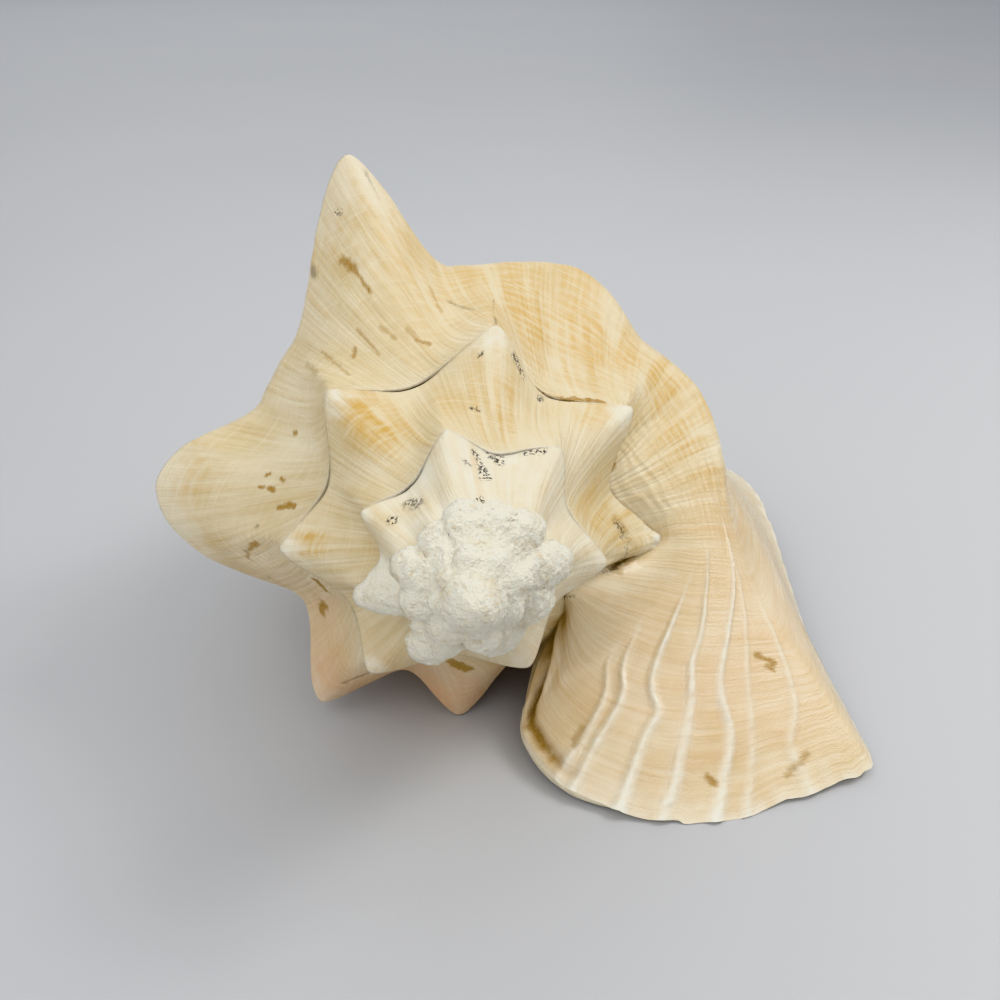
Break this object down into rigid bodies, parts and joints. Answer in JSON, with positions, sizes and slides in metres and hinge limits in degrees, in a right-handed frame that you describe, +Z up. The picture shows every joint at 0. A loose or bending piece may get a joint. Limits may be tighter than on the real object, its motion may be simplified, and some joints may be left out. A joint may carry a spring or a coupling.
{
  "type": "queen conch shell",
  "caption": "Large marine snail shell lying mouth down: tapering spire with spines, wide flared wing-like lip with a long narrow mouth beneath, and a siphonal canal at one end.",
  "frame": {"origin": "centre of the shell's plan box, on the surface that it rests on", "axes": "+Z up, out of the shell's back; +Y along the shell from its spire to the end of the siphonal canal; +X towards the flared lip"},
  "size_m": [0.1748, 0.2106, 0.1245],
  "materials": {
    "shell": "satin cream shell with tan patches, chalky on the worn spire, glossy peach pink on the lip"
  },
  "bodies": {
    "root": {"conch_shell": "shell"}
  },
  "joints": []
}
